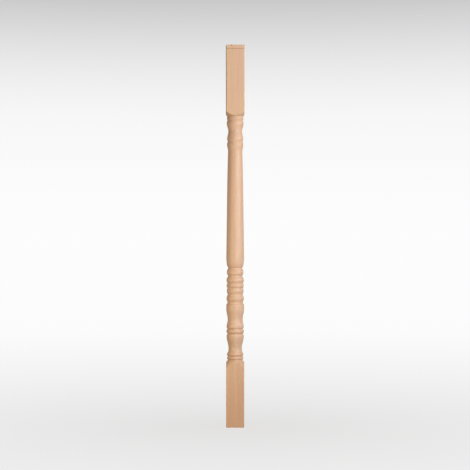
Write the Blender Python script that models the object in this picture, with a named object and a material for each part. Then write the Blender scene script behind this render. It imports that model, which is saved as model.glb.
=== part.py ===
"""A turned wooden stair baluster, made from one square length of beech.

The timber stays square at both ends, as two blocks, and is turned round between them.
The foot stands on the XY plane at the origin, the axis is Z, and the front faces -Y.
All sizes are in metres. Depths are measured in from the flat faces of the square timber,
and rises are measured along the axis, so the members stack from the bottom block upward
and the long column takes up whatever length is left.
"""

import math

import bmesh
import bpy
from mathutils import Matrix, Vector

# The square timber. It is in wind: its top end is turned a little from its foot.
LENGTH = 0.900
SQUARE = 0.0425
ARRIS = 0.0006
WIND_DEG = 2.6

# The blocks, measured to where their corners begin to be rounded over.
BOTTOM_BLOCK = 0.1370
TOP_BLOCK = 0.1537
BOTTOM_SHOULDER_RISE = 0.0210
TOP_SHOULDER_RISE = 0.0137
SHOULDER_BULGE = 0.0010

# A line scored round the top block, near its end.
SCORE_FROM_END = 0.0090
SCORE_WIDTH = 0.0011
SCORE_DEPTH = 0.0006

# Two beads over the bottom block, and the neck over them.
FOOT_QUIRK_DEPTH = 0.0043
FOOT_BEAD_DEPTH = 0.0019
FOOT_BEAD_1_LOWER_RISE = 0.0041
FOOT_BEAD_1_UPPER_RISE = 0.0042
FOOT_BEAD_2_LOWER_RISE = 0.0047
FOOT_BEAD_2_UPPER_RISE = 0.0051
NECK_DEPTH = 0.00555
NECK_RISE = 0.0093

# A vase that opens from the neck to a lip.
VASE_RISE = 0.0280
VASE_LIP_DEPTH = 0.00105
VASE_LIP_RISE = 0.0059

# A ring between two quirks.
RING_QUIRK_DEPTH = 0.0035
RING_DEPTH = 0.0005
RING_LOWER_RISE = 0.0060
RING_UPPER_RISE = 0.0058

# An urn: a lip, a waist and a long belly with a square upper edge.
URN_LIP_DEPTH = 0.0010
URN_LIP_RISE = 0.0053
WAIST_DEPTH = 0.00355
WAIST_RISE = 0.0160
BELLY_DEPTH = 0.00025
BELLY_RISE = 0.0260
BELLY_EDGE_DEPTH = 0.00045
BELLY_EDGE_RISE = 0.0115
URN_STEP_RISE = 0.0006
URN_FILLET_DEPTH = 0.0028
URN_FILLET_RISE = 0.0050

# The stack of five beads under the column, from the lowest up, and the hollows among them.
BEAD_1_DEPTH = 0.0007
BEAD_1_LOWER_RISE = 0.0072
BEAD_1_UPPER_RISE = 0.0084
HOLLOW_1_DEPTH = 0.0033
HOLLOW_1_RISE = 0.0026
BEAD_2_DEPTH = 0.0014
BEAD_2_LOWER_RISE = 0.0074
BEAD_2_UPPER_RISE = 0.0062
STACK_QUIRK_DEPTH = 0.0031
BEAD_3_DEPTH = 0.0010
BEAD_3_LOWER_RISE = 0.0058
BEAD_3_UPPER_RISE = 0.0055
BEAD_4_DEPTH = 0.0007
BEAD_4_LOWER_RISE = 0.0071
BEAD_4_UPPER_RISE = 0.0092
HOLLOW_2_DEPTH = 0.0044
HOLLOW_2_RISE = 0.0022
BEAD_5_DEPTH = 0.0018
BEAD_5_LOWER_RISE = 0.0070
BEAD_5_UPPER_RISE = 0.0098
HOLLOW_3_DEPTH = 0.0047
HOLLOW_3_RISE = 0.0025

# The column: a rounded foot, then a long taper that swells slightly and ends in a throat.
COLUMN_FOOT_DEPTH = 0.0003
COLUMN_FOOT_RISE = 0.0243
COLUMN_SWELL_DEPTH = 0.0015
COLUMN_SWELL_AT = 0.30
COLUMN_THROAT_DEPTH = 0.0023
COLUMN_THROAT_AT = 0.80
COLUMN_HEAD_DEPTH = 0.00445

# The collar over the column: two lips that face each other across a quirk.
COLLAR_FLARE_RISE = 0.0158
COLLAR_DEPTH = 0.0020
COLLAR_EDGE_RISE = 0.0074
COLLAR_QUIRK_DEPTH = 0.0039
COLLAR_LIP_DEPTH = 0.0022
COLLAR_LIP_RISE = 0.0056

# The upper neck and vase, and the last bead under the top block.
UPPER_NECK_DEPTH = 0.0050
UPPER_NECK_RISE = 0.0186
UPPER_VASE_DEPTH = 0.0013
UPPER_VASE_RISE = 0.0188
UPPER_LIP_RISE = 0.0072
TOP_QUIRK_DEPTH = 0.0032
TOP_BEAD_DEPTH = 0.0016
TOP_BEAD_LOWER_RISE = 0.0045
TOP_BEAD_UPPER_RISE = 0.0044

# The power of the curve on a plain bead or lip, and on a fuller lip with a crisp edge.
ROUND = 2
CRISP = 3

# How finely the turned part is drawn, and how far the turning runs clear of the timber.
TURNED_SIDES = 36
LIP_STEPS = 3
OGEE_STEPS = 5
COLUMN_STEPS = 8
SHOULDER_STEPS = 4
CLEAR = 0.0015
MERGE = 0.000001

WOOD_COLOUR = (0.66, 0.43, 0.29, 1.0)
WOOD_ROUGHNESS = 0.55
SHARP_EDGE_DEG = 30

FACE = SQUARE / 2
CORNER = math.hypot(FACE, FACE) + CLEAR
BOTTOM_QUIRK = BOTTOM_BLOCK + BOTTOM_SHOULDER_RISE
TOP_QUIRK = LENGTH - TOP_BLOCK - TOP_SHOULDER_RISE
COLUMN_HEAD = TOP_QUIRK - (
    TOP_BEAD_UPPER_RISE + TOP_BEAD_LOWER_RISE
    + UPPER_LIP_RISE + UPPER_VASE_RISE + UPPER_NECK_RISE
    + COLLAR_LIP_RISE + COLLAR_EDGE_RISE + COLLAR_FLARE_RISE
)


class Outline:
    """The outline of the turning, drawn upward as points of radius and height."""

    def __init__(self, radius, height):
        self.points = [Vector((radius, height))]

    def curve(self, rise, depth, share, steps):
        """Climb by rise, while share takes the radius from its present value to the new one."""
        start, height = self.points[-1]
        change = FACE - depth - start
        for step in range(1, steps + 1):
            t = step / steps
            self.points.append(Vector((start + change * share(t), height + rise * t)))

    def fillet(self, rise, depth):
        """A straight run."""
        self.curve(rise, depth, lambda t: t, 1)

    def lip_out(self, rise, depth, fullness=ROUND):
        """From a quirk out to a crown, which it meets upright."""
        self.curve(rise, depth, lambda t: 1 - (1 - t) ** fullness, LIP_STEPS)

    def lip_in(self, rise, depth, fullness=ROUND):
        """From an upright crown in to a quirk."""
        self.curve(rise, depth, lambda t: t ** fullness, LIP_STEPS)

    def bead(self, lower_rise, upper_rise, crown_depth, quirk_depth, fullness=ROUND):
        """A rounded ring: out to its crown, and in to the quirk or hollow over it."""
        self.lip_out(lower_rise, crown_depth, fullness)
        self.lip_in(upper_rise, quirk_depth, fullness)

    def ogee(self, rise, depth):
        """An S-curve that is upright at both of its ends."""
        self.curve(rise, depth, lambda t: (1 - math.cos(math.pi * t)) / 2, OGEE_STEPS)

    def round_out(self, rise, depth):
        """A quarter of an ellipse, from level at its start to upright at its end."""
        start, height = self.points[-1]
        change = FACE - depth - start
        for step in range(1, OGEE_STEPS + 1):
            angle = math.pi / 2 * step / OGEE_STEPS
            radius = start + change * math.sin(angle)
            self.points.append(Vector((radius, height + rise * (1 - math.cos(angle)))))

    def taper(self, rise, depth):
        """The shaft of the column, along one Bezier curve."""
        start = self.points[-1]
        swell = Vector((FACE - COLUMN_SWELL_DEPTH, start.y + rise * COLUMN_SWELL_AT))
        throat = Vector((FACE - COLUMN_THROAT_DEPTH, start.y + rise * COLUMN_THROAT_AT))
        end = Vector((FACE - depth, start.y + rise))
        for step in range(1, COLUMN_STEPS + 1):
            t = step / COLUMN_STEPS
            u = 1 - t
            self.points.append(
                start * u ** 3 + swell * 3 * u * u * t + throat * 3 * u * t * t + end * t ** 3
            )

    def shoulder(self, rise, radius):
        """The rounded end of a block, bulging a little past a straight cone."""
        start = self.points[-1].copy()
        along = Vector((radius - start.x, rise))
        outward = Vector((along.y, -along.x)).normalized() * SHOULDER_BULGE
        for step in range(1, SHOULDER_STEPS + 1):
            t = step / SHOULDER_STEPS
            self.points.append(start + along * t + outward * 4 * t * (1 - t))


def turning_outline():
    """Every member of the turning, from below the foot to above the top end."""
    turn = Outline(CORNER, -CLEAR)
    turn.fillet(BOTTOM_BLOCK + CLEAR, FACE - CORNER)
    turn.shoulder(BOTTOM_SHOULDER_RISE, FACE - FOOT_QUIRK_DEPTH)

    turn.bead(FOOT_BEAD_1_LOWER_RISE, FOOT_BEAD_1_UPPER_RISE, FOOT_BEAD_DEPTH, FOOT_QUIRK_DEPTH)
    turn.bead(FOOT_BEAD_2_LOWER_RISE, FOOT_BEAD_2_UPPER_RISE, FOOT_BEAD_DEPTH, FOOT_QUIRK_DEPTH)
    turn.lip_out(NECK_RISE, NECK_DEPTH)
    turn.ogee(VASE_RISE, VASE_LIP_DEPTH)
    turn.lip_in(VASE_LIP_RISE, RING_QUIRK_DEPTH, CRISP)
    turn.bead(RING_LOWER_RISE, RING_UPPER_RISE, RING_DEPTH, RING_QUIRK_DEPTH)

    turn.lip_out(URN_LIP_RISE, URN_LIP_DEPTH, CRISP)
    turn.ogee(WAIST_RISE, WAIST_DEPTH)
    turn.ogee(BELLY_RISE, BELLY_DEPTH)
    turn.fillet(BELLY_EDGE_RISE, BELLY_EDGE_DEPTH)
    turn.fillet(URN_STEP_RISE, URN_FILLET_DEPTH)
    turn.fillet(URN_FILLET_RISE, URN_FILLET_DEPTH)

    turn.bead(BEAD_1_LOWER_RISE, BEAD_1_UPPER_RISE, BEAD_1_DEPTH, HOLLOW_1_DEPTH)
    turn.fillet(HOLLOW_1_RISE, HOLLOW_1_DEPTH)
    turn.bead(BEAD_2_LOWER_RISE, BEAD_2_UPPER_RISE, BEAD_2_DEPTH, STACK_QUIRK_DEPTH)
    turn.bead(BEAD_3_LOWER_RISE, BEAD_3_UPPER_RISE, BEAD_3_DEPTH, STACK_QUIRK_DEPTH)
    turn.bead(BEAD_4_LOWER_RISE, BEAD_4_UPPER_RISE, BEAD_4_DEPTH, HOLLOW_2_DEPTH)
    turn.fillet(HOLLOW_2_RISE, HOLLOW_2_DEPTH)
    turn.bead(BEAD_5_LOWER_RISE, BEAD_5_UPPER_RISE, BEAD_5_DEPTH, HOLLOW_3_DEPTH, CRISP)
    turn.fillet(HOLLOW_3_RISE, HOLLOW_3_DEPTH)

    turn.round_out(COLUMN_FOOT_RISE, COLUMN_FOOT_DEPTH)
    turn.taper(COLUMN_HEAD - turn.points[-1].y, COLUMN_HEAD_DEPTH)

    turn.ogee(COLLAR_FLARE_RISE, COLLAR_DEPTH)
    turn.lip_in(COLLAR_EDGE_RISE, COLLAR_QUIRK_DEPTH)
    turn.lip_out(COLLAR_LIP_RISE, COLLAR_LIP_DEPTH)
    turn.ogee(UPPER_NECK_RISE, UPPER_NECK_DEPTH)
    turn.ogee(UPPER_VASE_RISE, UPPER_VASE_DEPTH)
    turn.lip_in(UPPER_LIP_RISE, TOP_QUIRK_DEPTH)
    turn.bead(TOP_BEAD_LOWER_RISE, TOP_BEAD_UPPER_RISE, TOP_BEAD_DEPTH, TOP_QUIRK_DEPTH)

    turn.shoulder(TOP_SHOULDER_RISE, CORNER)
    turn.fillet(TOP_BLOCK + CLEAR, FACE - CORNER)
    return turn.points


def build_turning():
    """The solid of the turning: the outline spun round the axis, closed at both ends."""
    outline = turning_outline()
    low = Vector((0, outline[0].y))
    high = Vector((0, outline[-1].y))
    shape = bmesh.new()
    verts = [shape.verts.new((p.x, 0, p.y)) for p in [low, *outline, high]]
    edges = [shape.edges.new(pair) for pair in zip(verts, verts[1:])]
    bmesh.ops.spin(
        shape, geom=verts + edges, cent=(0, 0, 0), axis=(0, 0, 1),
        angle=math.tau, steps=TURNED_SIDES,
    )
    bmesh.ops.remove_doubles(shape, verts=shape.verts, dist=MERGE)
    bmesh.ops.recalc_face_normals(shape, faces=shape.faces)
    return finish_mesh(shape, "turning")


def timber_sections():
    """Height, half width and turn of each cross-section of the timber, from the foot up.

    Between the blocks it is drawn stouter, so that only the turning shapes it there.
    """
    wind = math.radians(WIND_DEG)
    score = LENGTH - SCORE_FROM_END
    return [
        (0, FACE, 0),
        (BOTTOM_QUIRK, FACE, 0),
        (BOTTOM_QUIRK + CLEAR, FACE + CLEAR, 0),
        (TOP_QUIRK - CLEAR, FACE + CLEAR, wind),
        (TOP_QUIRK, FACE, wind),
        (score - SCORE_WIDTH / 2, FACE, wind),
        (score, FACE - SCORE_DEPTH, wind),
        (score + SCORE_WIDTH / 2, FACE, wind),
        (LENGTH, FACE, wind),
    ]


def build_timber():
    """The square timber, with its long arrises eased."""
    shape = bmesh.new()
    rings = []
    for height, half, turn in timber_sections():
        corners = []
        for side in range(4):
            spin = Matrix.Rotation(turn + side * math.pi / 2, 4, "Z")
            for across in (ARRIS - half, half - ARRIS):
                corners.append(shape.verts.new(spin @ Vector((half, across, height))))
        rings.append(corners)
    for lower, upper in zip(rings, rings[1:]):
        count = len(lower)
        for k in range(count):
            after = (k + 1) % count
            shape.faces.new((lower[k], lower[after], upper[after], upper[k]))
    shape.faces.new(reversed(rings[0]))
    shape.faces.new(rings[-1])
    return finish_mesh(shape, "baluster")


def finish_mesh(shape, name):
    """Turn a bmesh into a named object, shaded smooth except at its sharp edges."""
    mesh = bpy.data.meshes.new(name)
    shape.to_mesh(mesh)
    shape.free()
    mesh.shade_smooth()
    mesh.set_sharp_from_angle(angle=math.radians(SHARP_EDGE_DEG))
    piece = bpy.data.objects.new(name, mesh)
    bpy.context.scene.collection.objects.link(piece)
    return piece


def wood():
    """Pale pinkish beech, left unvarnished."""
    material = bpy.data.materials.new("beech")
    material.use_nodes = True
    shader = material.node_tree.nodes["Principled BSDF"]
    shader.inputs["Base Color"].default_value = WOOD_COLOUR
    shader.inputs["Roughness"].default_value = WOOD_ROUGHNESS
    shader.inputs["Metallic"].default_value = 0
    return material


def build_baluster():
    """Turn the timber: keep what lies inside both the square and the turning."""
    baluster = build_timber()
    baluster.data.materials.append(wood())
    turning = build_turning()
    turning.hide_render = True
    turning.display_type = "WIRE"
    lathe = baluster.modifiers.new("turned on the lathe", "BOOLEAN")
    lathe.operation = "INTERSECT"
    lathe.solver = "EXACT"
    lathe.object = turning


for leftover in list(bpy.data.objects):
    bpy.data.objects.remove(leftover)
build_baluster()
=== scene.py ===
"""A turned wooden stair baluster in raw beech, standing on a plain pale floor.

The baluster is one mesh. Each of its columns follows the square timber along the blocks and
the turning between them, and crosses from one to the other along a crisp curved arris.
All sizes are in metres. Depths are measured in from the timber's flat faces, and rises are
measured along the axis.
"""

import math
from collections import namedtuple

import bpy
from bpy.props import FloatProperty, FloatVectorProperty, PointerProperty
from bpy.types import NodeSocket, Operator, Panel, PropertyGroup
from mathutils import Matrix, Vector


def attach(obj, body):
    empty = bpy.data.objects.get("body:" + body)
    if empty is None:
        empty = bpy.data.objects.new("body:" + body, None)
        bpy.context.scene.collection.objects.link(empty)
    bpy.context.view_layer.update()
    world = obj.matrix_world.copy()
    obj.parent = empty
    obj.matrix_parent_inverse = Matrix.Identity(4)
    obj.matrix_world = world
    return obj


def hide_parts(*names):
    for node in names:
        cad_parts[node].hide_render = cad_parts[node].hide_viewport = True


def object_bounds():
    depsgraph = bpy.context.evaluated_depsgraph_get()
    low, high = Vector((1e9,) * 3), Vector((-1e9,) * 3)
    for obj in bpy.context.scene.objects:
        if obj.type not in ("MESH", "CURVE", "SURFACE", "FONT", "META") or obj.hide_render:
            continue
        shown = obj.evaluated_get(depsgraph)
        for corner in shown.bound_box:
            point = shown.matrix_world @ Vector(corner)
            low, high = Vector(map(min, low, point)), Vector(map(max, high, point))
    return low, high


bl_info = {
    "name": "Turned Wooden Baluster",
    "version": (1, 0, 0),
    "blender": (4, 5, 0),
    "location": "View3D > Sidebar > Baluster",
    "description": "Turns a square-ended stair baluster in beech and sets it on a pale floor",
    "category": "Add Mesh",
}

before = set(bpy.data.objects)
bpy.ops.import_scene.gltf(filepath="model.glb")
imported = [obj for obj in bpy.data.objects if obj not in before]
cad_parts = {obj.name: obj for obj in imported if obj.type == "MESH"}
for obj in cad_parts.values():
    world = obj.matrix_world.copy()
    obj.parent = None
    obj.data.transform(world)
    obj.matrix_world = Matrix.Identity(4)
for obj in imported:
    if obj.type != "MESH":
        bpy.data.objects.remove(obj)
cad_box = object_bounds()
CAD_LENGTH = cad_box[1].z - cad_box[0].z

# How finely the baluster and its stage are drawn.
FACE_STEP_DEG = 3
FILLET_STEPS = 2
LIP_STEPS = 7
OGEE_STEPS = 14
COLUMN_STEPS = 30
SHOULDER_STEPS = 12
BLOCK_STEPS = 6
END_STEPS = 12
ARRIS_STEPS = 4
STAGE_SIDES = 96
STAGE_STEPS = 16

# How often the search for a shoulder's arris halves its range, and how far past the timber's
# corners the shoulder's curve is drawn, as a multiple of the long arrises' radius.
HALVINGS = 40
PAST_CORNER = 2

# What stands beside an eased arris to keep the flats flat: an angle off the timber's corners,
# and multiples of the easing's own size.
CORNER_SUPPORT_DEG = 0.8
CUT_SUPPORT = 2
END_SIDE_SUPPORT = 2.5
END_FLAT_SUPPORT = 3

# The power of the curve on a plain bead or lip, and on a fuller lip with a crisp edge.
ROUND = 2
CRISP = 3

# Half of the scored line, from beside it to its bottom: shares of its half width and its depth.
SCORE_SHAPE = ((2, 0), (1, 0), (0.4, 0.6), (0, 1))

# Where the nick's columns stand, as shares of its width, and how fast it runs out downward.
NICK_COLUMNS = (-0.75, -0.5, -0.35, -0.2, -0.05, 0.1, 0.25, 0.4, 0.5, 0.75)
NICK_FADE = 1.5

# How far up and down a point looks for the walls of a hollow, the least distance it counts, and
# how quickly the painted shade of a hollow, the scored line and the nick comes to its full dark.
HOLLOW_REACH = 0.005
HOLLOW_SOFTENING = 0.0004
DARK_GAIN = 2

# The patterns of the wood: how many to a metre, across the grain both ways and along it.
DRIFT_SCALE = (110, 110, 2.2)
BLUSH_SCALE = (170, 170, 3.0)
WANDER_SCALE = (16, 16, 2.4)
FIBRE_SCALE = (900, 900, 14)
FLECK_SCALE = (1500, 1500, 260)

# The part of each pattern that counts, from none of it to all of it, and how much it then shows.
DRIFT_BAND = (0.38, 0.62)
BLUSH_BAND = (0.45, 0.72)
BLUSH_SHARE = 0.7
FIBRE_BAND = (0.35, 0.75)
FIBRE_SHARE = 0.30
FLECK_BAND = (0.34, 0.16)

# The growth rings: from the tree's pith to the axis, how far they wander, and how sharp they are.
FROM_PITH = (0.071, -0.048, 0)
WANDER_REACH = 0.016
RING_SHARPNESS = 4.0

# How steeply a surface faces up or down before it is end grain, and once it is end grain only.
END_GRAIN_BAND = (0.6, 1.0)

# How much the fibres and the end grain add to the roughness.
FIBRE_ROUGHNESS = 0.16
END_ROUGHNESS = 0.35

# How strong the bump is, and how deep a fleck is beside a fibre.
BUMP_STRENGTH = 0.6
FLECK_DEPTH = 0.5

# How far red, green and blue light go into the wood, beside each other.
GLOW_RADIUS = (1.0, 0.6, 0.35)

# The Mix node's sockets for its factor and its two colours, and the one for the result.
MIX_FACTOR, MIX_FIRST, MIX_SECOND = 0, 6, 7
MIX_RESULT = 2

# The colours of the lamps. The fill is warm, and the key is cool.
WHITE = (1.0, 1.0, 1.0)
WARM = (1.0, 0.92, 0.77)
COOL = (0.95, 1.02, 1.16)

# The lamps. Each has a name, which is also the setting that holds its power, a width, its turn
# in degrees from the front to the right, its distance from the axis, its height, the height on
# the axis that it aims at, its colour, and whether the wood mirrors it.
Lamp = namedtuple("Lamp", "name width turn distance height aim colour mirrored")
LAMPS = (
    Lamp("key", 0.8, 52, 1.8, 1.0, 0.65, COOL, True),
    Lamp("front", 0.5, 30, 1.2, 0.45, 0.45, WHITE, True),
    Lamp("fill", 0.4, -45, 0.9, 0.27, 0.27, WARM, True),
    Lamp("top", 0.4, 0, 0, 1.35, 0.9, WHITE, True),
    Lamp("back", 0.8, -160, 1.6, 0.9, 0.45, WHITE, False),
    Lamp("back", 0.8, 160, 1.6, 0.9, 0.45, WHITE, False),
)

# How far the camera stands to the right of the axis.
CAMERA_ASIDE = -0.0004


def length(name, description, default):
    """A length in metres."""
    return FloatProperty(
        name=name, description=description, default=default,
        min=0, soft_max=1, precision=4, step=0.01, unit="LENGTH",
    )


def share(name, description, default):
    """A share from 0 to 1."""
    return FloatProperty(
        name=name, description=description, default=default,
        min=0, max=1, subtype="FACTOR",
    )


def amount(name, description, default):
    """A plain number, zero or more."""
    return FloatProperty(name=name, description=description, default=default, min=0)


def angle(name, description, degrees):
    """An angle."""
    return FloatProperty(
        name=name, description=description, default=math.radians(degrees), subtype="ANGLE",
    )


def colour(name, description, default):
    """A colour in linear light."""
    return FloatVectorProperty(
        name=name, description=description, default=default,
        size=3, min=0, max=1, subtype="COLOR",
    )


class TimberSizes(PropertyGroup):
    """The square timber and its two blocks."""

    length: length("Length", "Length of the baluster", CAD_LENGTH)
    square: length("Square", "Width of the square timber", 0.0425)
    wind: angle("Wind", "Turn of the top block from the bottom block", 2.6)
    easing: length("Arris easing", "Radius of the long arrises", 0.0007)
    end_easing: length("End easing", "Radius of the arrises at the two ends", 0.0004)
    cut_easing: length("Shoulder easing", "Width of the eased arris round each shoulder", 0.0004)
    bottom_block: length("Bottom block", "Height of the bottom block's full corners", 0.1370)
    top_block: length("Top block", "Height of the top block's full corners", 0.1537)
    bottom_shoulder: length("Bottom shoulder", "Rise of the bottom block's shoulder", 0.0210)
    top_shoulder: length("Top shoulder", "Rise of the top block's shoulder", 0.0137)
    bulge: length("Shoulder bulge", "How far the shoulders swell past a cone", 0.0010)
    score_from_end: length("Score from end", "From the top end down to the scored line", 0.0090)
    score_width: length("Score width", "Width of the scored line", 0.0011)
    score_depth: length("Score depth", "Depth of the scored line", 0.0006)
    nick_across: length("Nick across", "From the front's middle to the nick, to the left", 0.0096)
    nick_width: length("Nick width", "Width of the nick in the top end's front arris", 0.0024)
    nick_height: length("Nick height", "How far the nick runs down the face", 0.0036)
    nick_depth: length("Nick depth", "How deep the nick is at the end", 0.0013)


class FootSizes(PropertyGroup):
    """Two beads over the bottom block, the neck and the vase."""

    quirk_depth: length("Quirk depth", "Depth of the quirks beside the beads", 0.0043)
    bead_depth: length("Bead depth", "Depth of the beads' crowns", 0.0019)
    bead_1_lower: length("Bead 1 lower rise", "From its quirk to its crown", 0.0041)
    bead_1_upper: length("Bead 1 upper rise", "From its crown to its quirk", 0.0042)
    bead_2_lower: length("Bead 2 lower rise", "From its quirk to its crown", 0.0047)
    bead_2_upper: length("Bead 2 upper rise", "From its crown to its quirk", 0.0051)
    neck_depth: length("Neck depth", "Depth of the neck", 0.00555)
    neck_rise: length("Neck rise", "From the bead to the neck", 0.0093)
    vase_rise: length("Vase rise", "From the neck to the vase's lip", 0.0280)
    vase_lip_depth: length("Vase lip depth", "Depth of the vase's lip", 0.00105)
    vase_lip_rise: length("Vase lip rise", "From the vase's lip to its quirk", 0.0059)


class UrnSizes(PropertyGroup):
    """The ring and the urn over the vase."""

    ring_quirk_depth: length("Ring quirk depth", "Depth of the quirks beside the ring", 0.0035)
    ring_depth: length("Ring depth", "Depth of the ring's crown", 0.0005)
    ring_lower: length("Ring lower rise", "From its quirk to its crown", 0.0060)
    ring_upper: length("Ring upper rise", "From its crown to its quirk", 0.0058)
    lip_depth: length("Lip depth", "Depth of the urn's lower lip", 0.0010)
    lip_rise: length("Lip rise", "From the quirk to the urn's lower lip", 0.0053)
    waist_depth: length("Waist depth", "Depth of the urn's waist", 0.00355)
    waist_rise: length("Waist rise", "From the lower lip to the waist", 0.0160)
    belly_depth: length("Belly depth", "Depth of the urn's belly", 0.00025)
    belly_rise: length("Belly rise", "From the waist to the belly", 0.0260)
    edge_depth: length("Edge depth", "Depth of the urn's upper edge", 0.00045)
    edge_rise: length("Edge rise", "From the belly to the upper edge", 0.0115)
    step_rise: length("Step rise", "Rise of the step in from the upper edge", 0.0006)
    fillet_depth: length("Fillet depth", "Depth of the fillet over the urn", 0.0028)
    fillet_rise: length("Fillet rise", "Rise of the fillet over the urn", 0.0050)


class BeadSizes(PropertyGroup):
    """The stack of five beads under the column, from the lowest up."""

    bead_1_depth: length("Bead 1 depth", "Depth of its crown", 0.0007)
    bead_1_lower: length("Bead 1 lower rise", "From its foot to its crown", 0.0072)
    bead_1_upper: length("Bead 1 upper rise", "From its crown to the hollow", 0.0084)
    hollow_1_depth: length("Hollow 1 depth", "Depth of the hollow over bead 1", 0.0033)
    hollow_1_rise: length("Hollow 1 rise", "Rise of the hollow over bead 1", 0.0026)
    bead_2_depth: length("Bead 2 depth", "Depth of its crown", 0.0014)
    bead_2_lower: length("Bead 2 lower rise", "From its foot to its crown", 0.0074)
    bead_2_upper: length("Bead 2 upper rise", "From its crown to its quirk", 0.0062)
    quirk_depth: length("Quirk depth", "Depth of the quirks beside bead 3", 0.0031)
    bead_3_depth: length("Bead 3 depth", "Depth of its crown", 0.0010)
    bead_3_lower: length("Bead 3 lower rise", "From its quirk to its crown", 0.0058)
    bead_3_upper: length("Bead 3 upper rise", "From its crown to its quirk", 0.0055)
    bead_4_depth: length("Bead 4 depth", "Depth of its crown", 0.0007)
    bead_4_lower: length("Bead 4 lower rise", "From its quirk to its crown", 0.0071)
    bead_4_upper: length("Bead 4 upper rise", "From its crown to the hollow", 0.0092)
    hollow_2_depth: length("Hollow 2 depth", "Depth of the hollow over bead 4", 0.0044)
    hollow_2_rise: length("Hollow 2 rise", "Rise of the hollow over bead 4", 0.0022)
    bead_5_depth: length("Bead 5 depth", "Depth of its crown", 0.0018)
    bead_5_lower: length("Bead 5 lower rise", "From its foot to its crown", 0.0070)
    bead_5_upper: length("Bead 5 upper rise", "From its crown to the hollow", 0.0098)
    hollow_3_depth: length("Hollow 3 depth", "Depth of the hollow over bead 5", 0.0047)
    hollow_3_rise: length("Hollow 3 rise", "Rise of the hollow over bead 5", 0.0025)


class ColumnSizes(PropertyGroup):
    """The long column, which takes up whatever length is left."""

    foot_depth: length("Foot depth", "Depth of the column's stoutest part", 0.0003)
    foot_rise: length("Foot rise", "Rise of the column's rounded foot", 0.0243)
    swell_depth: length("Swell depth", "Depth of the taper's lower handle", 0.0015)
    swell_at: share("Swell at", "Place of the taper's lower handle", 0.30)
    throat_depth: length("Throat depth", "Depth of the taper's upper handle", 0.0023)
    throat_at: share("Throat at", "Place of the taper's upper handle", 0.80)
    head_depth: length("Head depth", "Depth of the column's head", 0.00445)


class CollarSizes(PropertyGroup):
    """The collar over the column, the upper vase and the last bead."""

    flare_rise: length("Flare rise", "From the column's head to the collar", 0.0158)
    collar_depth: length("Collar depth", "Depth of the collar's lower lip", 0.0020)
    edge_rise: length("Edge rise", "From the lower lip to the quirk", 0.0074)
    quirk_depth: length("Quirk depth", "Depth of the collar's quirk", 0.0039)
    lip_depth: length("Lip depth", "Depth of the collar's upper lip", 0.0022)
    lip_rise: length("Lip rise", "From the quirk to the upper lip", 0.0056)
    neck_depth: length("Neck depth", "Depth of the upper neck", 0.0050)
    neck_rise: length("Neck rise", "From the upper lip to the neck", 0.0186)
    vase_depth: length("Vase depth", "Depth of the upper vase", 0.0013)
    vase_rise: length("Vase rise", "From the neck to the vase", 0.0188)
    vase_lip_rise: length("Vase lip rise", "From the vase to its quirk", 0.0072)
    top_quirk_depth: length("Top quirk depth", "Depth of the quirks beside the top bead", 0.0032)
    top_bead_depth: length("Top bead depth", "Depth of the top bead's crown", 0.0016)
    top_bead_lower: length("Top bead lower rise", "From its quirk to its crown", 0.0045)
    top_bead_upper: length("Top bead upper rise", "From its crown to its quirk", 0.0044)


class BeechLook(PropertyGroup):
    """The raw, sanded beech."""

    ochre: colour("Ochre", "The yellower streaks of the wood", (0.73, 0.462, 0.266))
    pink: colour("Pink", "The pinker streaks of the wood", (0.735, 0.450, 0.286))
    pale: colour("Pale", "The palest streaks of the wood", (0.77, 0.530, 0.352))
    ring: colour("Growth ring", "The dark edge of a year's growth", (0.56, 0.315, 0.165))
    fleck: colour("Fleck", "The small dark flecks of the rays", (0.42, 0.210, 0.100))
    # Painted shade: the hollow colour is laid into the quirks, where shade falls.
    hollow: colour("Hollow", "The wood in the quirks", (0.50, 0.255, 0.125))
    # Painted shade: the scored colour is laid into the scored line and the nick, where shade falls
    # in them.
    scored: colour(
        "Scored wood", "The dark bottom of the scored line and of the nick", (0.33, 0.17, 0.085),
    )
    ring_width: length("Ring width", "Width of a year's growth", 0.0034)
    ring_share: share("Ring strength", "How strongly the growth rings show", 0.28)
    fleck_share: share("Fleck strength", "How strongly the flecks show", 0.35)
    # How much of the painted shade the quirks take.
    hollow_shade_share: share("Hollow strength", "How much the quirks are darkened", 0.03)
    # A tint that makes the colour darker and warmer towards the bottom, and how high it reaches.
    foot: colour("Foot", "The warmer wood of the bottom block, as a tint", (0.85, 0.765, 0.69))
    foot_height: length("Foot height", "How high the warmer wood reaches", 0.30)
    end_share: share("End grain strength", "How much end grain is darkened", 0.40)
    end_rings: share("End ring strength", "How strongly the rings show in end grain", 0.65)
    roughness: share("Roughness", "Roughness of the sanded wood", 0.50)
    grain_relief: length("Grain relief", "Depth of the grain's bump", 0.00012)
    glow_share: share("Inner glow", "How much light goes a little way into the wood", 0.15)
    glow_depth: length("Inner glow depth", "How far that light goes", 0.0020)


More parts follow.
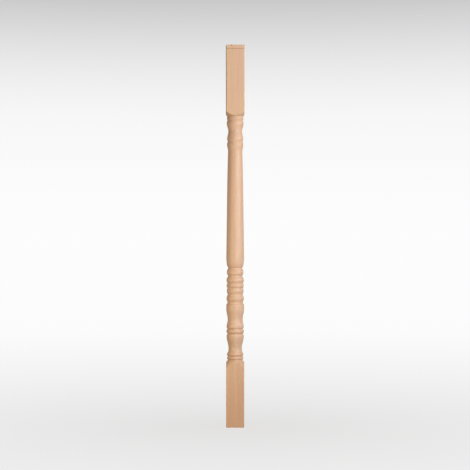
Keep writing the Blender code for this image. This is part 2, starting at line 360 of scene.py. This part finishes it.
class StageLook(PropertyGroup):
    """The floor, the lights and the camera."""

    floor: colour("Floor", "Colour of the floor and backdrop", (0.36, 0.36, 0.36))
    floor_radius: length("Floor radius", "Radius of the flat floor", 3.4)
    sweep_radius: length("Sweep radius", "Radius of the curve from the floor to the wall", 1.0)
    wall_top: length("Wall top", "Height of the backdrop", 3.6)
    # The floor and wall glow with painted light, dimmer at the foot and high on the wall.
    glow_foot: amount("Glow at the foot", "Glow of the floor at the baluster's foot", 0.68)
    glow_wall: amount("Glow far out", "Glow of the floor and wall far from the foot", 1.025)
    foot_reach: length("Foot reach", "How far from the foot half of the glow is back", 2.0)
    soften_from: length("Soften from", "Height at which the wall's glow begins to fall", 0.4)
    soften_to: length("Soften to", "Height at which this first fall ends", 1.3)
    soften_loss: amount("Soften loss", "How much of the glow the first fall takes", 0.06)
    dim_from: length("Dim from", "Height at which the wall's glow falls faster", 1.0)
    dim_to: length("Dim to", "Height at which it stops falling", 2.3)
    dim_loss: amount("Dim loss", "How much of the glow the faster fall takes", 0.62)
    room: amount("Room light", "Strength of the even light all round", 0.18)
    key: amount("Key light", "Power of the soft light high on the right", 28.3)
    front: amount("Front light", "Power of the soft light at the right front", 2.8)
    fill: amount("Fill light", "Power of the soft warm light low on the left", 4.0)
    top: amount("Top light", "Power of the soft light over the top end", 0.8)
    back: amount("Back light", "Power of each of the two soft lights behind", 10.0)
    camera_distance: length("Camera distance", "From the axis to the camera", 3.6)
    camera_height: length("Camera height", "Height of the camera", 0.4527)
    lens: FloatProperty(
        name="Lens", description="Focal length of the camera",
        default=116.7, min=1, unit="CAMERA",
    )


class BalusterSettings(PropertyGroup):
    """Everything that can be set."""

    timber: PointerProperty(type=TimberSizes)
    foot: PointerProperty(type=FootSizes)
    urn: PointerProperty(type=UrnSizes)
    beads: PointerProperty(type=BeadSizes)
    column: PointerProperty(type=ColumnSizes)
    collar: PointerProperty(type=CollarSizes)
    beech: PointerProperty(type=BeechLook)
    stage: PointerProperty(type=StageLook)


class Outline:
    """The outline of the turning, drawn upward as points of radius and height."""

    def __init__(self, face, radius, height):
        self.face = face
        self.points = [Vector((radius, height))]

    def curve(self, rise, depth, change_share, steps):
        """Climb by rise, while the radius moves on to its new depth as change_share says."""
        start, height = self.points[-1]
        change = self.face - depth - start
        for step in range(1, steps + 1):
            t = step / steps
            self.points.append(Vector((start + change * change_share(t), height + rise * t)))

    def fillet(self, rise, depth):
        """A straight run."""
        self.curve(rise, depth, lambda t: t, FILLET_STEPS)

    def lip_out(self, rise, depth, fullness=ROUND):
        """From a quirk out to a crown, which it meets upright."""
        self.curve(rise, depth, lambda t: 1 - (1 - t) ** fullness, LIP_STEPS)

    def lip_in(self, rise, depth, fullness=ROUND):
        """From an upright crown in to a quirk."""
        self.curve(rise, depth, lambda t: t ** fullness, LIP_STEPS)

    def bead(self, lower_rise, upper_rise, crown_depth, quirk_depth, fullness=ROUND):
        """A rounded ring: out to its crown, and in to the quirk or hollow over it."""
        self.lip_out(lower_rise, crown_depth, fullness)
        self.lip_in(upper_rise, quirk_depth, fullness)

    def ogee(self, rise, depth):
        """An S-curve that is upright at both of its ends."""
        self.curve(rise, depth, lambda t: (1 - math.cos(math.pi * t)) / 2, OGEE_STEPS)

    def round_out(self, rise, depth):
        """A quarter of an ellipse, from level at its start to upright at its end."""
        start, height = self.points[-1]
        change = self.face - depth - start
        for step in range(1, OGEE_STEPS + 1):
            turn = math.pi / 2 * step / OGEE_STEPS
            radius = start + change * math.sin(turn)
            self.points.append(Vector((radius, height + rise * (1 - math.cos(turn)))))

    def taper(self, rise, column):
        """The shaft of the column, along one Bezier curve."""
        start = self.points[-1]
        swell = Vector((self.face - column.swell_depth, start.y + rise * column.swell_at))
        throat = Vector((self.face - column.throat_depth, start.y + rise * column.throat_at))
        end = Vector((self.face - column.head_depth, start.y + rise))
        for step in range(1, COLUMN_STEPS + 1):
            t = step / COLUMN_STEPS
            u = 1 - t
            self.points.append(
                start * u ** 3 + swell * 3 * u * u * t + throat * 3 * u * t * t + end * t ** 3
            )


def turning_outline(settings):
    """Every member of the turning, from the bottom shoulder's quirk to the top one's."""
    timber = settings.timber
    face = timber.square / 2
    foot = settings.foot
    start = timber.bottom_block + timber.bottom_shoulder
    turn = Outline(face, face - foot.quirk_depth, start)
    turn.bead(foot.bead_1_lower, foot.bead_1_upper, foot.bead_depth, foot.quirk_depth)
    turn.bead(foot.bead_2_lower, foot.bead_2_upper, foot.bead_depth, foot.quirk_depth)
    turn.lip_out(foot.neck_rise, foot.neck_depth)
    turn.ogee(foot.vase_rise, foot.vase_lip_depth)

    urn = settings.urn
    turn.lip_in(foot.vase_lip_rise, urn.ring_quirk_depth, CRISP)
    turn.bead(urn.ring_lower, urn.ring_upper, urn.ring_depth, urn.ring_quirk_depth)
    turn.lip_out(urn.lip_rise, urn.lip_depth, CRISP)
    turn.ogee(urn.waist_rise, urn.waist_depth)
    turn.ogee(urn.belly_rise, urn.belly_depth)
    turn.fillet(urn.edge_rise, urn.edge_depth)
    turn.fillet(urn.step_rise, urn.fillet_depth)
    turn.fillet(urn.fillet_rise, urn.fillet_depth)

    beads = settings.beads
    turn.bead(beads.bead_1_lower, beads.bead_1_upper, beads.bead_1_depth, beads.hollow_1_depth)
    turn.fillet(beads.hollow_1_rise, beads.hollow_1_depth)
    turn.bead(beads.bead_2_lower, beads.bead_2_upper, beads.bead_2_depth, beads.quirk_depth)
    turn.bead(beads.bead_3_lower, beads.bead_3_upper, beads.bead_3_depth, beads.quirk_depth)
    turn.bead(beads.bead_4_lower, beads.bead_4_upper, beads.bead_4_depth, beads.hollow_2_depth)
    turn.fillet(beads.hollow_2_rise, beads.hollow_2_depth)
    turn.bead(
        beads.bead_5_lower, beads.bead_5_upper, beads.bead_5_depth, beads.hollow_3_depth, CRISP,
    )
    turn.fillet(beads.hollow_3_rise, beads.hollow_3_depth)

    collar = settings.collar
    column = settings.column
    turn.round_out(column.foot_rise, column.foot_depth)
    above_column = (
        collar.flare_rise + collar.edge_rise + collar.lip_rise + collar.neck_rise
        + collar.vase_rise + collar.vase_lip_rise + collar.top_bead_lower
        + collar.top_bead_upper + timber.top_shoulder + timber.top_block
    )
    turn.taper(timber.length - above_column - turn.points[-1].y, column)

    turn.ogee(collar.flare_rise, collar.collar_depth)
    turn.lip_in(collar.edge_rise, collar.quirk_depth)
    turn.lip_out(collar.lip_rise, collar.lip_depth)
    turn.ogee(collar.neck_rise, collar.neck_depth)
    turn.ogee(collar.vase_rise, collar.vase_depth)
    turn.lip_in(collar.vase_lip_rise, collar.top_quirk_depth)
    turn.bead(
        collar.top_bead_lower, collar.top_bead_upper,
        collar.top_bead_depth, collar.top_quirk_depth,
    )
    return turn.points


def timber_reach(offset, half, easing):
    """From the axis to the timber's surface, in a direction that is off a face's middle."""
    across, out = math.sin(abs(offset)), math.cos(offset)
    reach = half / out
    if reach * across <= half - easing:
        return reach
    centre = half - easing
    along = centre * (across + out)
    return along + math.sqrt(easing ** 2 - 2 * centre ** 2 + along ** 2)


class Shoulder:
    """The rounded end of a block, from a quirk out past the timber's corners."""

    def __init__(self, quirk, rise, corner, bulge):
        way = math.copysign(1, rise)
        self.quirk = quirk
        self.along = Vector((corner - quirk.x, rise))
        self.outward = Vector((abs(rise), -way * self.along.x)).normalized() * bulge

    def at(self, t):
        """The point of the shoulder's curve at a share t of the way out."""
        return self.quirk + self.along * t + self.outward * 4 * t * (1 - t)

    def leave(self, reach):
        """The share of the way at which the curve is as far out as the timber."""
        low, high = 0.0, 1.0
        for _ in range(HALVINGS):
            middle = (low + high) / 2
            if self.at(middle).x < reach:
                low = middle
            else:
                high = middle
        return low

    def profile(self, reach, easing):
        """Points from the quirk out to the timber's face and round on to it."""
        cut = self.leave(reach)
        stop = cut - easing / self.along.length
        points = [self.at(stop * step / SHOULDER_STEPS) for step in range(SHOULDER_STEPS + 1)]
        corner = self.at(cut)
        onto = corner + Vector((0, math.copysign(easing, self.along.y)))
        for step in range(1, ARRIS_STEPS + 1):
            t = step / ARRIS_STEPS
            u = 1 - t
            points.append(points[SHOULDER_STEPS] * u * u + corner * 2 * u * t + onto * t * t)
        points.append(onto + Vector((0, math.copysign(easing * CUT_SUPPORT, self.along.y))))
        return points


def column_offsets(timber, front):
    """Angles off a face's middle at which the columns of the mesh stand, more on the front."""
    half = timber.square / 2
    corner = math.atan((half - timber.easing) / half)
    span = math.radians(FACE_STEP_DEG)
    count = int(corner / span)
    offsets = [span * k for k in range(-count, count + 1)]
    support = corner - math.radians(CORNER_SUPPORT_DEG)
    offsets += [-support, support]
    for step in range(ARRIS_STEPS + 1):
        offsets.append(corner + (math.pi / 2 - 2 * corner) * step / ARRIS_STEPS)
    if front:
        for part in NICK_COLUMNS:
            offsets.append(math.atan((-timber.nick_across + timber.nick_width * part) / half))
    return sorted(offsets)


def nick_cut(timber, across, height):
    """How far the nick cuts into the front at a place on it."""
    side = (across + timber.nick_across) / (timber.nick_width / 2)
    down = (timber.length - height) / timber.nick_height
    if abs(side) >= 1 or down >= 1:
        return 0
    return timber.nick_depth * (1 - side ** 2) * (1 - down ** NICK_FADE)


def block_heights(start, stop, steps):
    """Even heights from start to stop, both left out."""
    return [start + (stop - start) * k / steps for k in range(1, steps)]


def end_profile(timber, offset, reach_at, end, inward):
    """The eased arris at an end, from the side on to the flat of the end."""
    ease = timber.end_easing
    points = [Vector((reach_at(offset, 0), end + inward * ease * END_SIDE_SUPPORT))]
    for step in range(ARRIS_STEPS + 1):
        turn = math.pi / 2 * step / ARRIS_STEPS
        inset = ease * (1 - math.cos(turn))
        height = end + inward * ease * (1 - math.sin(turn))
        points.append(Vector((reach_at(offset, inset), height)))
    points.append(Vector((reach_at(offset, ease * END_FLAT_SUPPORT), end)))
    return points


def scored_profile(timber, offset, reach_at):
    """The scored line, from just below it to just above it."""
    score = timber.length - timber.score_from_end
    shape = [(-out, depth) for out, depth in SCORE_SHAPE] + list(reversed(SCORE_SHAPE[:-1]))
    return [
        Vector((reach_at(offset, timber.score_depth * depth), score + timber.score_width / 2 * out))
        for out, depth in shape
    ]


def column_profile(settings, outline, offset):
    """Radius and height of every point of one column, from the foot to the top end."""
    timber = settings.timber
    half = timber.square / 2
    corner = math.hypot(half, half) + timber.easing * PAST_CORNER

    def reach_at(at, inset):
        return timber_reach(at, half - inset, timber.easing)

    reach = reach_at(offset, 0)
    low = Shoulder(outline[0], -timber.bottom_shoulder, corner, timber.bulge)
    high = Shoulder(outline[-1], timber.top_shoulder, corner, timber.bulge)
    low_points = list(reversed(low.profile(reach, timber.cut_easing)))
    high_points = high.profile(reach, timber.cut_easing)
    foot = list(reversed(end_profile(timber, offset, reach_at, 0, 1)))
    top = end_profile(timber, offset, reach_at, timber.length, -1)
    scored = scored_profile(timber, offset, reach_at)

    def flat(start, stop, steps):
        return [Vector((reach, height)) for height in block_heights(start.y, stop.y, steps)]

    points = foot + flat(foot[-1], low_points[0], BLOCK_STEPS)
    points += low_points[:-1] + outline + high_points[1:]
    points += flat(high_points[-1], scored[0], BLOCK_STEPS) + scored
    return points + flat(scored[-1], top[0], END_STEPS) + top


def hollow_shading(points):
    """How far each point of a profile lies in a hollow, for the painted shade there: 0 in the open,
    towards 1 deep in.
    """
    values = []
    for k, here in enumerate(points):
        rises = []
        for way in (-1, 1):
            steepest = 0
            j = k + way
            while 0 <= j < len(points) and abs(points[j].y - here.y) < HOLLOW_REACH:
                gap = abs(points[j].y - here.y) + HOLLOW_SOFTENING
                steepest = max(steepest, (points[j].x - here.x) / gap)
                j += way
            rises.append(math.atan(steepest) / (math.pi / 2))
        values.append(min(1, min(rises) * DARK_GAIN))
    return values


def painted_groove_shade(timber, height, cut):
    """How much painted shade a point takes: 1 at the bottom of the scored line, or of the nick that
    cuts it.
    """
    from_line = abs(height - timber.length + timber.score_from_end) / (timber.score_width / 2)
    return min(1, max(0, (1 - from_line) * DARK_GAIN, cut / timber.nick_depth * DARK_GAIN))


def neighbours(columns):
    """Each column with the next one round the baluster."""
    return zip(columns, columns[1:] + columns[:1])


def baluster_mesh(settings):
    """The whole baluster as one closed mesh, with a value at each vertex for the painted shade of
    the hollows, and one for that of the scored line and the nick.
    """
    timber = settings.timber
    outline = turning_outline(settings)
    start, stop = outline[0].y, outline[-1].y
    verts, hollow, scored = [], [], []
    columns = []
    for quarter in range(4):
        front = quarter == 3
        for offset in column_offsets(timber, front):
            off_face = offset - math.pi / 2 if offset > math.pi / 4 else offset
            profile = column_profile(settings, outline, off_face)
            columns.append(range(len(verts), len(verts) + len(profile)))
            hollow += hollow_shading(profile)
            for radius, height in profile:
                wound = timber.wind * min(max((height - start) / (stop - start), 0), 1)
                spin = quarter * math.pi / 2 + wound
                across = radius * math.sin(offset)
                cut = nick_cut(timber, across, height) if front else 0
                out = radius * math.cos(offset) - cut
                scored.append(painted_groove_shade(timber, height, cut))
                verts.append((
                    out * math.cos(spin) - across * math.sin(spin),
                    out * math.sin(spin) + across * math.cos(spin),
                    height,
                ))
    faces = []
    for left, right in neighbours(columns):
        faces += zip(left, right, right[1:], left[1:])
    for row, height in ((0, 0), (-1, timber.length)):
        centre = len(verts)
        verts.append((0, 0, height))
        hollow.append(0)
        scored.append(0)
        for left, right in neighbours(columns):
            pair = (left[row], right[row]) if row else (right[row], left[row])
            faces.append((*pair, centre))
    mesh = bpy.data.meshes.new("baluster_turned")
    mesh.from_pydata(verts, [], faces)
    mesh.validate()
    mesh.shade_smooth()
    # Painted shade for the hollows, and for the scored line and the nick.
    mesh.attributes.new("hollow", "FLOAT", "POINT").data.foreach_set("value", hollow)
    mesh.attributes.new("scored", "FLOAT", "POINT").data.foreach_set("value", scored)
    return mesh


class Mixer:
    """A material's nodes, and the making of more."""

    def __init__(self, name):
        self.material = bpy.data.materials.new(name)
        self.material.use_nodes = True
        self.tree = self.material.node_tree
        self.shader = self.tree.nodes["Principled BSDF"]

    def add(self, kind, inputs, **settings):
        """A new node. Its inputs take plain values or other nodes' outputs."""
        node = self.tree.nodes.new(kind)
        for name, value in settings.items():
            setattr(node, name, value)
        for socket, value in inputs.items():
            self.feed(node.inputs[socket], value)
        return node

    def feed(self, socket, value):
        """Set an input, or link it."""
        if isinstance(value, NodeSocket):
            self.tree.links.new(value, socket)
        else:
            socket.default_value = value

    def math(self, operation, first, second=0.0):
        """A sum, product or other result of two numbers."""
        node = self.add("ShaderNodeMath", {0: first, 1: second}, operation=operation)
        return node.outputs[0]

    def stretch(self, vector, scale, place=(0, 0, 0)):
        """The same places, scaled along each axis and shifted."""
        node = self.add("ShaderNodeMapping", {"Vector": vector, "Scale": scale, "Location": place})
        return node.outputs["Vector"]

    def noise(self, vector, scale, detail=2.0):
        """Smooth noise, about 0 to 1."""
        node = self.add(
            "ShaderNodeTexNoise",
            {"Vector": self.stretch(vector, scale), "Scale": 1.0, "Detail": detail},
        )
        return node.outputs["Fac"]

    def band(self, value, limits, out_low=0.0, out_high=1.0):
        """A number moved smoothly from the first limit to the second, and held between them."""
        low, high = limits
        node = self.add(
            "ShaderNodeMapRange",
            {
                "Value": value, "From Min": low, "From Max": high,
                "To Min": out_low, "To Max": out_high,
            },
            interpolation_type="SMOOTHSTEP",
        )
        return node.outputs["Result"]

    def blend(self, factor, first, second, kind="MIX"):
        """Two colours mixed."""
        inputs = {MIX_FACTOR: factor, MIX_FIRST: first, MIX_SECOND: second}
        node = self.tree.nodes.new("ShaderNodeMix")
        node.data_type = "RGBA"
        node.blend_type = kind
        for socket, value in inputs.items():
            self.feed(node.inputs[socket], value)
        return node.outputs[MIX_RESULT]

    def tinted(self, colour, tint):
        """A colour multiplied by another."""
        return self.blend(1.0, colour, tint, "MULTIPLY")

    def attribute(self, name):
        """A number that the mesh holds at each of its points."""
        return self.add("ShaderNodeAttribute", {}, attribute_name=name).outputs["Fac"]

    def distance(self, vector):
        """How long a vector is."""
        node = self.add("ShaderNodeVectorMath", {0: vector}, operation="LENGTH")
        return node.outputs["Value"]

    def upward(self, vector):
        """A vector's part along Z."""
        return self.add("ShaderNodeSeparateXYZ", {0: vector}).outputs["Z"]


def opaque(rgb):
    """A colour with full alpha."""
    return (*rgb, 1.0)


def streaked_wood(mix, place, look):
    """The slow drift of the wood from ochre to pink, with paler streaks."""
    drift = mix.noise(place, DRIFT_SCALE, detail=3)
    blush = mix.noise(place, BLUSH_SCALE, detail=2)
    tone = mix.blend(mix.band(drift, DRIFT_BAND), opaque(look.ochre), opaque(look.pink))
    return mix.blend(mix.band(blush, BLUSH_BAND, 0, BLUSH_SHARE), tone, opaque(look.pale))


def growth_rings(mix, place, ring_width):
    """How dark each year's growth is, from 0 up to 1 at its outer edge."""
    from_pith = mix.distance(mix.stretch(place, (1, 1, 0), FROM_PITH))
    wander = mix.noise(place, WANDER_SCALE, detail=3)
    depth = mix.math("ADD", from_pith, mix.math("MULTIPLY", wander, WANDER_REACH))
    year = mix.math("FRACT", mix.math("DIVIDE", depth, ring_width))
    return mix.math("POWER", year, RING_SHARPNESS)


def ray_flecks(mix, place, look):
    """The short dark flecks of the rays."""
    cells = mix.add(
        "ShaderNodeTexVoronoi",
        {"Vector": mix.stretch(place, FLECK_SCALE), "Scale": 1.0, "Randomness": 1.0},
    )
    spot = mix.band(cells.outputs["Distance"], FLECK_BAND)
    return mix.math("MULTIPLY", spot, look.fleck_share)


def beech_material(look):
    """Raw sanded beech: soft colour streaks, growth rings, ray flecks and fine grain, with painted
    shade in the quirks, the scored line and the nick.
    """
    mix = Mixer("beech")
    where = mix.add("ShaderNodeTexCoord", {})
    place = where.outputs["Object"]
    steepness = mix.math("ABSOLUTE", mix.upward(where.outputs["Normal"]))
    end_grain = mix.band(steepness, END_GRAIN_BAND)
    tone = streaked_wood(mix, place, look)

    # The rings show more in end grain.
    ring_share = mix.band(end_grain, (0.0, 1.0), look.ring_share, look.end_rings)
    rings = mix.math("MULTIPLY", growth_rings(mix, place, look.ring_width), ring_share)
    tone = mix.blend(rings, tone, opaque(look.ring))

    # The fine fibres and the flecks of the rays.
    fibre = mix.noise(place, FIBRE_SCALE, detail=4)
    tone = mix.blend(mix.band(fibre, FIBRE_BAND, 0, FIBRE_SHARE), tone, opaque(look.ring))
    spot = ray_flecks(mix, place, look)
    tone = mix.blend(spot, tone, opaque(look.fleck))

    # The colour is tinted darker and warmer towards the bottom.
    low = mix.band(mix.upward(place), (look.foot_height, 0.0))
    tone = mix.blend(low, tone, mix.tinted(tone, opaque(look.foot)))

    # Painted shade darkens the quirks, and the scored line with the nick; the end grain is darker.
    hollow = mix.math("MULTIPLY", mix.attribute("hollow"), look.hollow_shade_share)
    tone = mix.blend(hollow, tone, opaque(look.hollow))
    # Painted shade in the scored line and the nick.
    tone = mix.blend(mix.attribute("scored"), tone, opaque(look.scored))
    tone = mix.blend(mix.math("MULTIPLY", end_grain, look.end_share), tone, opaque(look.ring))

    mix.feed(mix.shader.inputs["Base Color"], tone)
    mix.shader.inputs["Subsurface Weight"].default_value = look.glow_share
    mix.shader.inputs["Subsurface Radius"].default_value = GLOW_RADIUS
    mix.shader.inputs["Subsurface Scale"].default_value = look.glow_depth

    # The fibres vary the roughness, and the end grain adds to it.
    smoothest = look.roughness - FIBRE_ROUGHNESS / 2
    rough = mix.math("ADD", mix.math("MULTIPLY", fibre, FIBRE_ROUGHNESS), smoothest)
    rough = mix.math("ADD", rough, mix.math("MULTIPLY", end_grain, END_ROUGHNESS))
    mix.feed(mix.shader.inputs["Roughness"], rough)

    # The fibres stand up a little, and the flecks lie lower.
    relief = mix.math("SUBTRACT", fibre, mix.math("MULTIPLY", spot, FLECK_DEPTH))
    bump = mix.add(
        "ShaderNodeBump",
        {"Height": relief, "Distance": look.grain_relief, "Strength": BUMP_STRENGTH},
    )
    mix.feed(mix.shader.inputs["Normal"], bump.outputs["Normal"])
    return mix.material


def lit_collection(context):
    """The collection of what the lamps shine on."""
    lit = bpy.data.collections.get("lit")
    if lit is None:
        lit = bpy.data.collections.new("lit")
        context.scene.collection.children.link(lit)
    return lit


class BALUSTER_OT_turn(Operator):
    """Turn the baluster from its square timber and finish it in beech"""

    bl_idname = "baluster.turn"
    bl_label = "Turn Baluster"

    def execute(self, context):
        settings = context.scene.baluster
        piece = bpy.data.objects.new("baluster_turned", baluster_mesh(settings))
        piece.data.materials.append(beech_material(settings.beech))
        lit_collection(context).objects.link(piece)
        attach(piece, "root")
        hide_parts("baluster")
        return {"FINISHED"}


def sweep_mesh(stage):
    """A round floor whose rim curves up into a wall."""
    profile = [(0, 0), (stage.floor_radius / 2, 0), (stage.floor_radius, 0)]
    for step in range(1, STAGE_STEPS + 1):
        turn = math.pi / 2 * step / STAGE_STEPS
        profile.append((
            stage.floor_radius + stage.sweep_radius * math.sin(turn),
            stage.sweep_radius * (1 - math.cos(turn)),
        ))
    profile.append((profile[-1][0], stage.wall_top))
    verts = [(0, 0, 0)]
    for radius, height in profile[1:]:
        for side in range(STAGE_SIDES):
            turn = math.tau * side / STAGE_SIDES
            verts.append((radius * math.cos(turn), radius * math.sin(turn), height))
    faces = []
    for side in range(STAGE_SIDES):
        after = (side + 1) % STAGE_SIDES
        faces.append((0, 1 + side, 1 + after))
        for row in range(len(profile) - 2):
            low = 1 + row * STAGE_SIDES
            high = low + STAGE_SIDES
            faces.append((low + side, high + side, high + after, low + after))
    mesh = bpy.data.meshes.new("floor")
    mesh.from_pydata(verts, [], faces)
    mesh.shade_smooth()
    return mesh


def sweep_material(stage):
    """A pale matt sheet with painted light: it glows softly, less at the baluster's foot and high
    on the wall.
    """
    mix = Mixer("pale floor")
    place = mix.add("ShaderNodeTexCoord", {}).outputs["Object"]

    # The painted light grows outward from the baluster's foot, and is lost with height.
    radius = mix.distance(mix.stretch(place, (1, 1, 0)))
    share_out = mix.math("DIVIDE", radius, mix.math("ADD", radius, stage.foot_reach))
    gain = mix.math("MULTIPLY", share_out, stage.glow_wall - stage.glow_foot)
    height = mix.upward(place)
    loss = mix.math(
        "ADD",
        mix.band(height, (stage.soften_from, stage.soften_to), 0.0, stage.soften_loss),
        mix.band(height, (stage.dim_from, stage.dim_to), 0.0, stage.dim_loss),
    )
    glow = mix.math("SUBTRACT", mix.math("ADD", gain, stage.glow_foot), loss)

    mix.shader.inputs["Base Color"].default_value = opaque(stage.floor)
    mix.shader.inputs["Roughness"].default_value = 1.0
    mix.shader.inputs["Specular IOR Level"].default_value = 0.0
    mix.shader.inputs["Emission Color"].default_value = (1, 1, 1, 1)
    mix.feed(mix.shader.inputs["Emission Strength"], glow)
    return mix.material


def soft_light(context, lamp, watts):
    """A square area light, aimed at the axis, that shines on the baluster alone."""
    light = bpy.data.lights.new(lamp.name, "AREA")
    light.energy = watts
    light.shape = "SQUARE"
    light.size = lamp.width
    light.color = lamp.colour
    turn = math.radians(lamp.turn)
    place = Vector((lamp.distance * math.sin(turn), -lamp.distance * math.cos(turn), lamp.height))
    source = bpy.data.objects.new(lamp.name, light)
    source.light_linking.receiver_collection = lit_collection(context)
    source.visible_glossy = lamp.mirrored
    source.visible_camera = False
    source.location = place
    source.rotation_euler = (Vector((0, 0, lamp.aim)) - place).to_track_quat("-Z", "Y").to_euler()
    context.scene.collection.objects.link(source)


class BALUSTER_OT_stage(Operator):
    """Lay the pale floor and set up the soft lights and the camera"""

    bl_idname = "baluster.stage"
    bl_label = "Set Stage"

    def execute(self, context):
        stage = context.scene.baluster.stage
        floor = bpy.data.objects.new("floor", sweep_mesh(stage))
        floor.data.materials.append(sweep_material(stage))
        floor.visible_diffuse = False
        floor.visible_glossy = False
        floor.visible_transmission = False
        floor.visible_shadow = False
        context.scene.collection.objects.link(floor)

        world = bpy.data.worlds.new("room")
        world.use_nodes = True
        world.node_tree.nodes["Background"].inputs["Color"].default_value = (1, 1, 1, 1)
        world.node_tree.nodes["Background"].inputs["Strength"].default_value = stage.room
        context.scene.world = world

        for lamp in LAMPS:
            soft_light(context, lamp, getattr(stage, lamp.name))

        lens = bpy.data.cameras.new("camera")
        lens.lens = stage.lens
        lens.dof.use_dof = False
        camera = bpy.data.objects.new("camera", lens)
        camera.location = (CAMERA_ASIDE, -stage.camera_distance, stage.camera_height)
        camera.rotation_euler = (math.pi / 2, 0, 0)
        context.scene.collection.objects.link(camera)
        context.scene.camera = camera
        context.scene.view_settings.view_transform = "Standard"
        return {"FINISHED"}


class BALUSTER_PT_panel(Panel):
    """Sizes and looks of the baluster"""

    bl_idname = "BALUSTER_PT_panel"
    bl_label = "Turned Baluster"
    bl_space_type = "VIEW_3D"
    bl_region_type = "UI"
    bl_category = "Baluster"

    def draw(self, context):
        settings = context.scene.baluster
        for group_name in ("timber", "foot", "urn", "beads", "column", "collar", "beech", "stage"):
            group = getattr(settings, group_name)
            box = self.layout.box()
            box.label(text=group_name.capitalize())
            for name in group.__annotations__:
                box.prop(group, name)
        self.layout.operator(BALUSTER_OT_turn.bl_idname)
        self.layout.operator(BALUSTER_OT_stage.bl_idname)


CLASSES = (
    TimberSizes, FootSizes, UrnSizes, BeadSizes, ColumnSizes, CollarSizes, BeechLook, StageLook,
    BalusterSettings, BALUSTER_OT_turn, BALUSTER_OT_stage, BALUSTER_PT_panel,
)


def register():
    """Make the settings, operators and panel known."""
    for cls in CLASSES:
        bpy.utils.register_class(cls)
    bpy.types.Scene.baluster = PointerProperty(type=BalusterSettings)


def unregister():
    """Take them away again."""
    del bpy.types.Scene.baluster
    for cls in reversed(CLASSES):
        bpy.utils.unregister_class(cls)


def main():
    """Make the baluster and its stage."""
    register()
    bpy.ops.baluster.turn()
    bpy.ops.baluster.stage()


if __name__ == "__main__":
    main()
